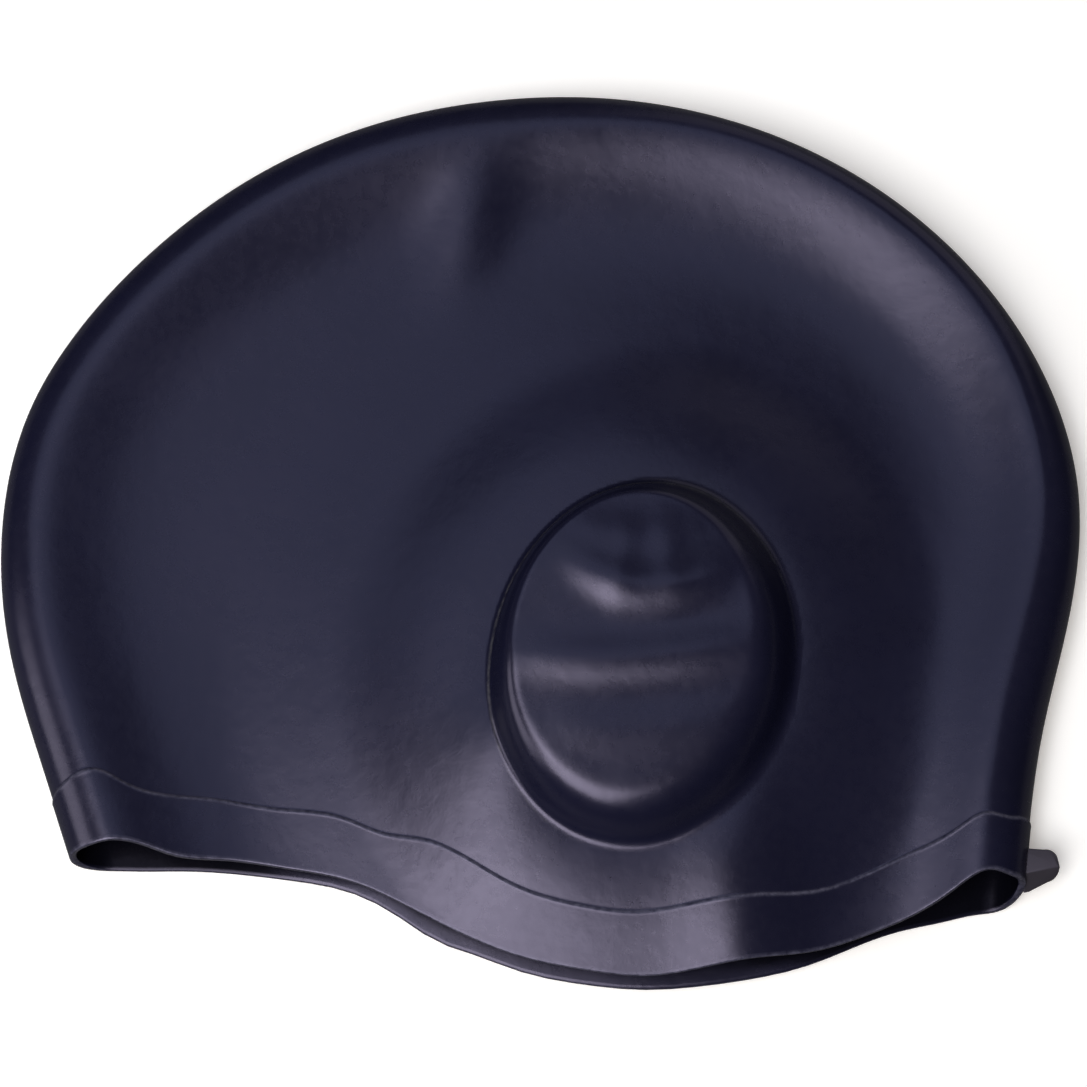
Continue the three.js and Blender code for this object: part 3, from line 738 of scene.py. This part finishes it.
def silicone_tone(shading, crease, clouds, specks):
    """Cloudy navy, with painted highlights on thin edges and the pocket's crease, painted shade in the
    hollow and a paler painted tone on the tab.
    """
    tone = shading.blend(shading.spread(clouds, 0, 1), DARK_NAVY, PALE_NAVY)
    tone = shading.blend(shading.spread(specks, 0, 0.3), tone, SPECK_COLOUR)
    # Painted highlight along the cut edge and the band's top line, broken up by noise
    broken = shading.spread(shading.noise(900, 2), 0.15, 0.75)
    edges = shading.combine("MULTIPLY", shading.attribute("edge_highlight"), broken)
    tone = shading.blend(edges, tone, EDGE_HIGHLIGHT_COLOUR)
    # Painted highlight along one side of the pocket's crease
    tone = shading.blend(crease_highlight(shading, crease), tone, CREASE_HIGHLIGHT_COLOUR)
    # Painted shade deep in the hollow
    tone = shading.blend(shading.attribute("inside"), tone, HOLLOW_SHADE_COLOUR)
    # Paler painted tone on the pull tab, for the light that it catches
    return shading.blend(shading.attribute("tab_light_and_roughness"), tone, TAB_LIGHT_COLOUR)


def silicone_bump(shading, specks):
    """Fine grain and slight unevenness of the moulded surface."""
    bump = shading.nodes.new("ShaderNodeBump")
    bump.inputs["Strength"].default_value = 0.04
    bump.inputs["Distance"].default_value = 0.0002
    grain = shading.combine("ADD", shading.noise(1500, 3), shading.combine("MULTIPLY", specks, 2.0))
    uneven = shading.combine("MULTIPLY", shading.noise(170, 3), 9.0)
    shading.links.new(shading.combine("ADD", grain, uneven), bump.inputs["Height"])
    return bump.outputs["Normal"]


def silicone_material(crease):
    """Satin navy silicone, where crease is the middle of the upper pocket in metres."""
    material = bpy.data.materials.new("navy_silicone")
    shading = Shading(material)
    clouds = shading.noise(38, 3)
    specks = shading.noise(420, 4, 0.6)
    # Less reflection deep in the hollow, as painted shade
    hollow_dimmed_specular = shading.spread(shading.attribute("inside"), 0.5, 0.1, 0, 1)
    gloss = shading.combine("ADD", shading.spread(clouds, 0.24, 0.3), shading.spread(specks, -0.02, 0.02))
    # The pull tab is also rougher
    gloss = shading.combine("ADD", gloss, shading.spread(shading.attribute("tab_light_and_roughness"), 0, 0.25, 0, 1))
    sockets = shading.shader.inputs
    sockets["IOR"].default_value = 1.5
    sockets["Specular Tint"].default_value = (0.82, 0.74, 1.0, 1)
    shading.links.new(silicone_tone(shading, crease, clouds, specks), sockets["Base Color"])
    shading.links.new(hollow_dimmed_specular, sockets["Specular IOR Level"])
    shading.links.new(gloss, sockets["Roughness"])
    shading.links.new(silicone_bump(shading, specks), sockets["Normal"])
    return material


def floor_material():
    """Pale table that looks brighter to the camera than the light it throws back on the cap."""
    material = bpy.data.materials.new("pale_table")
    shading = Shading(material)
    path = shading.nodes.new("ShaderNodeLightPath")
    to_camera = path.outputs["Is Camera Ray"]
    sockets = shading.shader.inputs
    sockets["Roughness"].default_value = 0.7
    sockets["Emission Color"].default_value = (1, 0.93, 0.87, 1)
    tone = shading.blend(to_camera, TABLE_TO_CAP, TABLE_TO_CAMERA)
    shading.links.new(tone, sockets["Base Color"])
    shading.links.new(shading.combine("MULTIPLY", to_camera, TABLE_GLOW), sockets["Emission Strength"])
    return material


def add_floor():
    bpy.ops.mesh.primitive_plane_add(size=8, location=(0, 0, -0.0002))
    floor = bpy.context.object
    floor.name = "table"
    floor.data.materials.append(floor_material())


def add_camera():
    """Camera at the photograph's angle: 75 degrees above the table, from the mouth's side."""
    data = bpy.data.cameras.new("camera")
    data.sensor_width = 36
    data.lens = CAMERA_LENS
    camera = bpy.data.objects.new("camera", data)
    back = Vector((0, -math.cos(CAMERA_ELEVATION), math.sin(CAMERA_ELEVATION)))
    camera.location = Vector(CAMERA_TARGET) + CAMERA_DISTANCE * back
    camera.rotation_euler = (math.pi / 2 - CAMERA_ELEVATION, 0, 0)
    bpy.context.scene.collection.objects.link(camera)
    bpy.context.scene.camera = camera


def add_softbox(name, direction, distance, size, radiance, colour):
    """A square light of a given brightness, facing the cap from a direction."""
    data = bpy.data.lights.new(name, "AREA")
    data.size = size
    data.energy = radiance * math.pi * size * size
    data.color = colour
    light = bpy.data.objects.new(name, data)
    way = Vector(direction).normalized()
    light.location = way * distance
    light.rotation_euler = way.to_track_quat("Z", "Y").to_euler()
    bpy.context.scene.collection.objects.link(light)


def add_world():
    """Soft light from above that fades towards the horizon, and a pale backdrop behind the table."""
    world = bpy.data.worlds.new("studio")
    world.use_nodes = True
    nodes, links = world.node_tree.nodes, world.node_tree.links
    overhead = nodes["Background"]
    overhead.inputs["Color"].default_value = (1, 0.97, 0.95, 1)
    place = nodes.new("ShaderNodeTexCoord")
    split = nodes.new("ShaderNodeSeparateXYZ")
    links.new(place.outputs["Generated"], split.inputs["Vector"])
    ramp = nodes.new("ShaderNodeMapRange")
    ramp.interpolation_type = "SMOOTHSTEP"
    for name, number in (("From Min", 0.35), ("From Max", 0.98), ("To Min", 0.03), ("To Max", 0.08)):
        ramp.inputs[name].default_value = number
    links.new(split.outputs["Z"], ramp.inputs["Value"])
    links.new(ramp.outputs["Result"], overhead.inputs["Strength"])
    backdrop = nodes.new("ShaderNodeBackground")
    backdrop.inputs["Color"].default_value = (0.93, 0.92, 0.9, 1)
    path = nodes.new("ShaderNodeLightPath")
    join = nodes.new("ShaderNodeMixShader")
    links.new(path.outputs["Is Camera Ray"], join.inputs["Fac"])
    links.new(overhead.outputs[0], join.inputs[1])
    links.new(backdrop.outputs[0], join.inputs[2])
    links.new(join.outputs[0], nodes["World Output"].inputs["Surface"])
    bpy.context.scene.world = world


skin_points, skin_faces, skin_marks = make_skin()
skin_shift = shift_into_frame(skin_points)
silicone = silicone_material((skin_shift[:2] + POCKET_CENTRE) * MM)
cap = mesh_object("swim_cap", skin_points + skin_shift, skin_faces, skin_marks, silicone)
tab = add_tab(silicone, skin_shift)
for piece in (cap, tab):
    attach(piece, "root")
    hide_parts("cap")

add_floor()
add_camera()
for softbox in SOFTBOXES:
    add_softbox(*softbox)
add_world()
bpy.context.scene.view_settings.view_transform = "Standard"
